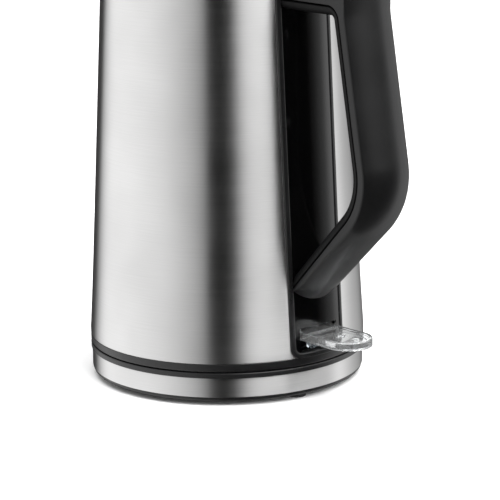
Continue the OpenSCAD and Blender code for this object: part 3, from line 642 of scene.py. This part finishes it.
def turn_edges():
    """The parting line's sharp bend, in as many steps as the outer line's."""
    turns = [LEAN + (pi / 2 - LEAN) * (i + 1) / TURN_STEPS for i in range(TURN_STEPS)]
    return [TOP_PIVOT + Vector((cos(a), sin(a))) * TOP_BEND_R for a in turns]


def arm_edges(first, z):
    """Points at height z from below the first one to inside the body."""
    steps = 21
    return [Vector((first.x + (INSIDE_X - first.x) * i / steps, z)) for i in range(1, steps + 1)]


def shell_top_stations():
    """The handle's top, where the parting line turns sharply while the outer line goes on up and over."""
    edges, outer = turn_edges(), outer_turn()
    over = TURN_STEPS - TURN_STRAIGHT
    flatter = [(CROWN - CROWN_TOP) * max(0, i - TURN_STRAIGHT) / over for i in range(TURN_STEPS)]
    crowns = [CROWN - less for less in flatter]
    edges += arm_edges(edges[-1], PARTING_Z)
    outer += arm_edges(outer[-1], SHELL_TOP)
    crowns += [CROWN_TOP] * (len(edges) - TURN_STEPS)
    return [(edge, (b - edge).normalized(), (b - edge).length, crown)
            for edge, b, crown in zip(edges, outer, crowns)]


def cover_top_stations():
    """The same stretch for the inner cover, which follows the parting line."""
    edges = turn_edges()
    turn = [(edge, (edge - TOP_PIVOT).normalized(), 0, 0) for edge in edges]
    return turn + [(edge, Vector((0, 1)), 0, 0) for edge in arm_edges(edges[-1], PARTING_Z)]


def crown_half(peak, crown, inset):
    """Half of the shell's section, side corner and crown, moved inward by the inset: (t outward, y)."""
    deg = radians(crown)
    crown_r = (HALF - CORNER_R + CORNER_R * sin(deg)) / sin(deg)
    side = peak - crown_r - (CORNER_R - crown_r) * cos(deg)
    middle = side + (CORNER_R - crown_r) * cos(deg)
    corner = [pi / 2 + (deg - pi / 2) * i / 7 for i in range(8)]
    over = [deg * (1 - i / 8) for i in range(1, 9)]
    r = CORNER_R - inset
    points = [(side + r * cos(a), HALF - CORNER_R + r * sin(a)) for a in corner]
    return points + [(middle + (crown_r - inset) * cos(a), (crown_r - inset) * sin(a)) for a in over]


def shell_outline(peak, crown):
    """Closed section of the outer shell: (t outward from the parting line, y), hollow towards that line."""
    edge = SEAM - PARTING_SHIFT
    lip = [(edge, HALF - 0.6), (edge + 0.2, HALF - 0.15), (edge + 0.5, HALF)]
    outer = mirrored(lip + crown_half(peak, crown, 0))
    inner = mirrored([(edge, HALF - WALL)] + crown_half(peak, crown, WALL))
    return outer + inner[::-1]


def cover_outline(peak, crown):
    """Closed section of the inner cover, hollow towards the parting line and the same at every station."""
    edge = -SEAM - PARTING_SHIFT
    flat = HALF - (COVER_R + COVER_STEP)
    corner = [pi / 2 + pi / 2 * i / 9 for i in range(10)]
    half = [(edge, HALF - 1.1), (edge - 0.45, HALF - 0.5), (edge - 0.6, HALF - COVER_STEP)]
    half += [(COVER_R - COVER_DEEP + COVER_R * cos(a), flat + COVER_R * sin(a)) for a in corner]
    half += [(-COVER_DEEP, flat * (1 - i / 3)) for i in range(1, 4)]
    hollow = [(edge, HALF - 3), (COVER_WALL - COVER_DEEP, HALF - 4)]
    return mirrored(half) + [(t, -y) for t, y in hollow] + hollow[::-1]


def to_skin(point, way):
    """Slides a point along a direction until it stands SKIN_STAND off the skin."""
    p = Vector(point)
    for _ in range(24):
        r = hypot(p.x, p.y)
        gap = r - (min(skin_r(max(p.z, RING_TOP)), BASE_R) + SKIN_STAND * MM)
        p -= way * (gap / max(0.25, (way.x * p.x + way.y * p.y) / r))
    return p


def too_near(ring, end, way, gap):
    """Whether some point of the ring lies less than the gap beyond its own point of the end ring."""
    return min((p - q).dot(way) for p, q in zip(ring, end)) < gap


def swept_handle(name, stations, outline_of):
    """Sweeps a section along the handle's stations and fits both ends to the body."""
    rings = []
    for edge, way, peak, crown in stations:
        places = [(edge + way * t, y) for t, y in outline_of(peak, crown)]
        rings.append([Vector((p.x * MM, y * MM, above(p.y))) for p, y in places])
    low_way, top_way = Vector((ARM_WAY.x, 0, ARM_WAY.y)), Vector((1, 0, 0))
    rings[0] = [to_skin(p, low_way) for p in rings[0]]
    rings[-1] = [to_skin(p, top_way) for p in rings[-1]]
    while too_near(rings[1], rings[0], low_way, 0.5 * MM):
        rings.pop(1)
    while too_near(rings[-2], rings[-1], top_way, 0.3 * MM):
        rings.pop(-2)
    return skinned(name, rings, sharp=45)


def button_hole():
    """The cutter for the button's hole."""
    x0, x1 = HOLE_X
    corners = ((x0, -HOLE_HALF), (x1, -HOLE_HALF), (x1, HOLE_HALF), (x0, HOLE_HALF))
    outline = rounded([(x, y, HOLE_R) for x, y in corners], 7)
    low, high = above(PARTING_Z + 2), above(SHELL_TOP + 5)
    return prism("hole_cut", [(x * MM, y * MM) for x, y in outline], low, high)


def grip_screw_bores():
    """Cutters for the two screw bores in the cover's inner face."""
    n = outward(GRIP_WAY)
    way = Vector((n.x, 0, n.y))
    for share in (0.18, 0.82):
        p = HIGH_BEND + (TOP_BEND - HIGH_BEND) * share - n * COVER_DEEP
        start = Vector((p.x * MM, 0, above(p.y)))
        yield rod("bore_cut", start - way * 1 * MM, start + way * 1.6 * MM, 2.75 * MM, 48)


def handle():
    """The soft-touch outer shell and the matte inner cover."""
    shell = swept_handle("grip_shell", grip_stations() + shell_top_stations(), shell_outline)
    combine(shell, [button_hole()], "DIFFERENCE", 45)
    finish_piece(shell, "kettle", SOFT_TOUCH, "handle_shell")
    cover = swept_handle("grip_cover", grip_stations() + cover_top_stations(), cover_outline)
    combine(cover, list(grip_screw_bores()), "DIFFERENCE", 45)
    finish_piece(cover, "kettle", BLACK_MATTE, "handle_cover")


# ================= lever =================

# --- millimetres, heights above the kettle's underside ---
PIVOT_X, PIVOT_Z = 65.0, 16.2
LEVER_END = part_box("power_lever")[1].x / MM
LEVER_R = 12.5
LEVER_LOW, LEVER_TOP = 14, 18.5
RECESS_Z = 17.6
MARK_LOW, MARK_EDGE, MARK_TOP = 17.4, 18, 18.2


def lever_outline(inset, start):
    """The paddle's outline from above: straight sides from start and a round end, moved in by the inset."""
    r = LEVER_R - inset
    points = [(start, r)] + arc(LEVER_END - LEVER_R, 0, r, 90, -90, 40) + [(start, -r)]
    return [(x * MM, y * MM) for x, y in points]


def power_lever():
    """The clear paddle: a raised rim round a shallow recess that holds a ring mark and a diamond mark."""
    piece = prism("lever_paddle", lever_outline(0, PIVOT_X), above(LEVER_LOW), above(LEVER_TOP))
    recess = prism("recess_cut", lever_outline(1.6, 78), above(RECESS_Z), above(20))
    under = prism("under_cut", lever_outline(3.2, 84), above(12), above(LEVER_LOW + 0.7))
    combine(piece, [recess, under], "DIFFERENCE")
    soften(piece, 0.35 * MM)
    x, z = PIVOT_X * MM, above(PIVOT_Z)
    barrel = cross_rod("barrel", x, LEVER_R * MM, z, 3.4 * MM, 64)
    combine(piece, [barrel, lever_ring(103, 2.6), lever_diamond(92, 2.4)], "UNION")
    bore = cross_rod("bore_cut", x, 20 * MM, z, 1.25 * MM, 48)
    notch = block("notch_cut", (60 * MM, -4.3 * MM, above(11)), (62.6 * MM, 4.3 * MM, above(30)))
    combine(piece, [bore, notch], "DIFFERENCE", 45)
    finish_piece(piece, "power_lever", CLEAR, "power_lever")


def lever_ring(x, r):
    """A raised ring on the paddle, r millimetres in radius."""
    half = [(r - 0.8, MARK_LOW), (r - 0.8, MARK_EDGE), (r - 0.6, MARK_TOP)]
    outline = half + [(r - 0.2, MARK_TOP), (r, MARK_EDGE), (r, MARK_LOW)]
    ring = lathe("ring_mark", [(u * MM, above(z)) for u, z in outline], 48)
    for v in ring.data.vertices:
        v.co.x += x * MM
    return ring


def lever_diamond(x, r):
    """A raised hollow diamond on the paddle, half as long again across it."""
    outline = [(r, MARK_LOW), (r, MARK_EDGE), (r - 0.25, MARK_TOP)]
    outline += [(r - 0.7, MARK_TOP), (r - 0.9, MARK_EDGE), (r - 0.9, MARK_LOW)]
    turns = (0, pi / 2, pi, pi * 1.5)
    rings = []
    for u, z in outline:
        rings.append([((x + u * cos(a)) * MM, u * 1.5 * sin(a) * MM, above(z)) for a in turns])
    return skinned("diamond_mark", rings, closed_path=True)


# ================= foot ring, base and lid =================

BOSS_SIDES, HOLE_SIDES = 40, 24
PILOT_R = 1.25 * MM
GLAND_Z = 10.05 * MM


def foot_ring():
    """The black ring under the steel: rounded foot, and the inner walls that hold the bottom cover."""
    r = BASE_R / MM
    foot = [(r - 4, 0.3), (r - 3.7, 0), (r - 1.3, 0), (r - 0.6, 0.2), (r - 0.15, 0.7), (r, 1.3)]
    shoulder = [(r, 4.3), (r - 0.2, 4.5), (r - 0.9, 4.5), (r - 1.15, 10), (r - 2.65, 10), (r - 2.65, 6.6)]
    piece = lathe_mm("foot_ring", foot + shoulder + [(52, 6.6), (52, 4.6), (r - 4, 4.6)], KETTLE_Z)
    angles, reach = (60, 180, 300), 58
    bosses = posts("boss", angles, reach, above(4.8), above(13.6), 4 * MM, BOSS_SIDES)
    holes = posts("hole", angles, reach, above(3), above(12), PILOT_R, HOLE_SIDES)
    combine(piece, bosses, "UNION")
    half = SLOT_HALF * MM
    slot = block("slot_cut", (68 * MM, -half, above(5.2)), (90 * MM, half, above(12)))
    combine(piece, holes + [slot], "DIFFERENCE")
    finish_piece(piece, "kettle", BLACK, "bottom_ring")


def groove(out, top):
    """A fine groove in a flat top, from its outer edge inward."""
    r = 0.12
    return [(out, top, r), (out - 0.15, top - 0.75, r), (out - 0.55, top - 0.75, r), (out - 0.7, top, r)]


def base_plate():
    """The base's black top: rim with two fine grooves, a low mound and the cone that meets the post."""
    r, top, hub = BASE_R / MM, KETTLE_Z / MM - 0.2, 12.95
    rim_z = top - 2.9
    outline = [(r, rim_z, 0.2), (r, top - 0.7, 0), (r - 0.2, top - 0.3, 0), (r - 0.7, top, 0)]
    outline += groove(0.962 * r, top) + groove(0.872 * r, top)
    outline += [(54.7, top, 3), (38.2, top + 2.4, 5), (30.8, top + 5.7, 2.5), (17.6, top + 7, 4)]
    outline += [(hub, top + 12.3, 0.2), (hub, top + 10.4, 0.2)]
    outline += [(16.4, top + 5, 2), (30, top + 3.7, 2), (37.6, top + 0.4, 3), (54.5, top - 2, 2)]
    outline += [(r - 3, top - 2, 0.5), (r - 3, rim_z - 3.3, 0.2)]
    outline += [(r - 1.35, rim_z - 3.3, 0.2), (r - 1.35, rim_z, 0)]
    piece = lathe_mm("base_top", rounded(outline, 5))
    angles, reach = (53, 173, 293), 50
    bosses = posts("boss", angles, reach, 10.5 * MM, (top - 0.7) * MM, 3.6 * MM, BOSS_SIDES)
    holes = posts("hole", angles, reach, 9 * MM, 16.5 * MM, PILOT_R, HOLE_SIDES)
    combine(piece, bosses, "UNION")
    gland = rod("gland", (0, 68 * MM, GLAND_Z), (0, 90 * MM, GLAND_Z), 5.2 * MM, 64)
    combine(piece, holes + [gland], "DIFFERENCE")
    finish_piece(piece, "power_base", BLACK, "base_top_plate")


def base_band():
    """The brushed steel band round the base."""
    r = BASE_R / MM - 0.6
    low, high = [corner.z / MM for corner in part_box("base_steel_band")]
    outline = [(r - 0.6, low, 0.1), (r, low, 0.25), (r, high, 0.25), (r - 0.6, high, 0.1)]
    piece = lathe_mm("base_band", rounded(outline, 4))
    gland = rod("gland", (0, 65 * MM, GLAND_Z), (0, 90 * MM, GLAND_Z), 5.0 * MM, 64)
    combine(piece, [gland], "DIFFERENCE")
    finish_piece(piece, "power_base", STEEL_BAND, "base_steel_band")


def hinge_ears(pin_x, pin_z):
    """The lid's two hinge ears, each a round end on an arm."""
    parts = []
    for side in (-1, 1):
        y0, y1 = sorted((side * 12.3 * MM, side * 16.5 * MM))
        parts.append(rod("ear", (pin_x, y0, pin_z), (pin_x, y1, pin_z), 3.4 * MM, 64))
        parts.append(block("arm", (41 * MM, y0, pin_z - 2 * MM), (pin_x, y1, pin_z + 1.6 * MM)))
    return parts


def lid_cover():
    """The lid's black rim: a rounded shoulder round the steel disc, cut straight behind, with hinge ears."""
    top = LID_TOP
    outline = [(0, top - 2, 0), (41, top - 2, 0.2), (41, top, 0.3), (52, top - 1, 4), (57.6, top - 3.4, 3)]
    outline += [(58.9, top - 5.9, 0.4), (57, top - 5.9, 0.3), (56, top - 4.6, 1)]
    outline += [(50.5, top - 3.2, 2), (0, top - 3.2, 0)]
    piece = lathe_mm("lid_rim", rounded(outline, 6))
    rear = block("rear_cut", (45 * MM, -0.1, 0), (0.1, 0.1, 0.4))
    combine(piece, [rear], "DIFFERENCE")
    soften(piece, 0.3 * MM)
    pin_x, pin_z = 50 * MM, COLLAR_TOP + 3.4 * MM
    combine(piece, hinge_ears(pin_x, pin_z), "UNION")
    combine(piece, [cross_rod("bore", pin_x, 40 * MM, pin_z, 1.55 * MM, 40)], "DIFFERENCE")
    finish_piece(piece, "lid", BLACK, "lid_cover")


def lid_disc():
    """The slightly domed steel disc set into the lid."""
    top, low, r, flat, dome = LID_TOP, LID_TOP - 1.98, 40.8, 39.6, 0.4
    outline = [(0, low), (r, low), (r, top - 0.5), (40.6, top - 0.25), (40.2, top - 0.1), (flat, top)]
    outline += [(flat * (1 - i / 10), top + dome * (1 - (1 - i / 10) ** 2)) for i in range(1, 11)]
    piece = lathe_mm("lid_disc", outline)
    finish_piece(piece, "lid", STEEL_DISC, "lid_insert")


# ================= scene =================

CAMERA_AZIMUTH = radians(49.5)
CAMERA_ELEVATION = radians(15.407)
CAMERA_DISTANCE = 1.4
CAMERA_YAW = radians(0.511)
CAMERA_ROLL = radians(-0.821)
CAMERA_TILT = radians(1.917)
LENS = 182.37

LAMP_PLACE = Vector((0.2, -0.1, 2.2))
LAMP_SIZE = 2.2
LAMP_POWER = 62
FLOOR_HALF = 12


def turned(first, second, angle):
    """Both directions turned by the angle, the first one towards the second."""
    return first * cos(angle) + second * sin(angle), second * cos(angle) - first * sin(angle)


def make_camera():
    """Looks at the kettle's foot from the right of the handle, so that the body stands left of the middle."""
    a, e = CAMERA_AZIMUTH, CAMERA_ELEVATION
    back = Vector((sin(a) * cos(e), -cos(a) * cos(e), sin(e)))
    right = Vector((cos(a), sin(a), 0))
    up = back.cross(right)
    ahead, right = turned(-back, right, CAMERA_YAW)
    right, up = turned(right, up, CAMERA_ROLL)
    ahead, up = turned(ahead, up, CAMERA_TILT)
    data = bpy.data.cameras.new("camera")
    data.lens = LENS
    data.sensor_width = 36
    data.clip_start, data.clip_end = 0.01, 50
    camera = new_object("camera", data)
    turn = Matrix((right, up, -ahead)).transposed().to_4x4()
    camera.matrix_world = Matrix.Translation(Vector((0, 0, KETTLE_Z)) + back * CAMERA_DISTANCE) @ turn
    bpy.context.scene.camera = camera


# Brightness of the studio's walls round the object, by angle from the main camera's side in degrees:
# two wide soft boxes with a narrow dark gap between them, and a darker wall behind
WALLS = [
    (-180, 0.06), (-153, 0.05), (-146, 0.08), (-137, 0.90), (-124, 1.45), (-97, 1.42), (-75.5, 1.33),
    (-57, 1.155), (-40, 0.89), (-29, 0.68), (-24, 0.545), (-18.5, 0.37), (-15, 0.004), (7.5, 0.004),
    (11, 1.0), (15, 2.20), (17.8, 3.40), (23, 4.20), (34, 5.00), (47, 5.40), (80, 4.20), (112, 1.35),
    (131, 0.75), (146, 0.57), (154, 0.30), (180, 0.05),
]

# How much of that brightness is left low down, by the same angle: a dark table on the right
BELOW = [
    (-180, 1), (5, 1), (8, 0.0), (81, 0.0), (88, 0.05), (98, 0.22), (110, 1.0), (140, 0.92), (150, 0.95),
    (180, 1),
]

# Heights of the view direction: the table's effect ends between the first two, and the walls fade to
# FADE of their brightness between the last two
TABLE_FROM, TABLE_TO = 0.12, 0.42
FADE_FROM, FADE_TO = 0.25, 0.95
FADE = 0.75


def tone_ramp(tree, share, table):
    """A grey ramp through a table of (degree, value); gives its colour and its largest value."""
    ramp = add(tree, "ValToRGB", {0: share})
    stops = ramp.color_ramp.elements
    most = max(value for _, value in table)
    for i, (degree, value) in enumerate(table):
        position = (degree + 180) / 360
        stop = stops[i] if i < 2 else stops.new(position)
        stop.position = position
        stop.color = (value / most, value / most, value / most, 1)
    return ramp.outputs["Color"], most


def camera_side_angle(tree, way):
    """The view direction's angle from the camera's side, as a share of a full turn."""
    # turn the direction so that the camera's side is +X, then measure the angle from it
    turn = pi / 2 - CAMERA_AZIMUTH
    facing = add(tree, "VectorRotate", {"Vector": way, "Axis": (0, 0, 1), "Angle": turn})
    flat = add(tree, "SeparateXYZ", {0: facing.outputs[0]})
    angle = add(tree, "Math", {0: flat.outputs[1], 1: flat.outputs[0]}, operation="ARCTAN2")
    return add(tree, "MapRange", {0: angle.outputs[0], 1: -pi, 2: pi, 3: 0.0, 4: 1.0}).outputs[0]


def make_world():
    """Soft boxes left and right, seen by reflections; the camera itself sees plain white."""
    world = bpy.data.worlds.new("studio")
    bpy.context.scene.world = world
    world.use_nodes = True
    tree = world.node_tree
    tree.nodes.clear()
    way = add(tree, "TexCoord").outputs["Generated"]
    z = add(tree, "SeparateXYZ", {0: way}).outputs[2]
    share = camera_side_angle(tree, way)
    walls, brightest = tone_ramp(tree, share, WALLS)
    below, most = tone_ramp(tree, share, BELOW)
    left = add(tree, "Math", {0: below, 1: most}, operation="MULTIPLY")
    low = spread(tree, z, 0.0, 1.0, TABLE_FROM, TABLE_TO)
    kept = spread(tree, low, left.outputs[0], 1.0, 0.0, 1.0)
    high = spread(tree, z, brightest, brightest * FADE, FADE_FROM, FADE_TO)
    strength = add(tree, "Math", {0: high, 1: kept}, operation="MULTIPLY")
    boxes = add(tree, "Background", {"Color": walls, "Strength": strength.outputs[0]})
    white = add(tree, "Background", {"Color": (1, 1, 1, 1), "Strength": 1.0})
    seen = add(tree, "LightPath").outputs["Is Camera Ray"]
    mix = add(tree, "MixShader", {0: seen, 1: boxes.outputs[0], 2: white.outputs[0]})
    out = add(tree, "OutputWorld")
    tree.links.new(mix.outputs[0], out.inputs[0])


def make_floor():
    """A plain pale floor, left out of the steel's reflections so that they show only the soft boxes."""
    far = FLOOR_HALF
    floor = build("floor", [(-far, -far, 0), (far, -far, 0), (far, far, 0), (-far, far, 0)], [(0, 1, 2, 3)])
    material, _, shader, _ = new_material("floor_paper")
    shader.inputs["Base Color"].default_value = grey(0.92)
    shader.inputs["Roughness"].default_value = 0.9
    shader.inputs["Specular IOR Level"].default_value = 0.1
    floor.data.materials.append(material)
    floor.visible_glossy = False


def make_lamp():
    """A wide soft lamp overhead, left out of reflections."""
    data = bpy.data.lights.new("overhead", "AREA")
    data.shape = "RECTANGLE"
    data.size = LAMP_SIZE
    data.size_y = LAMP_SIZE
    data.energy = LAMP_POWER
    lamp = new_object("overhead", data)
    lamp.location = LAMP_PLACE
    lamp.rotation_euler = (-LAMP_PLACE).to_track_quat("-Z", "Y").to_euler()
    lamp.visible_glossy = False


# ================= making everything =================

bpy.context.scene.view_settings.view_transform = "Standard"
make_camera()
make_world()
make_floor()
make_lamp()
dress_cad_nodes()
body_skin()
foot_ring()
spine_frame()
spine_panel()
handle()
power_lever()
base_plate()
base_band()
lid_cover()
lid_disc()
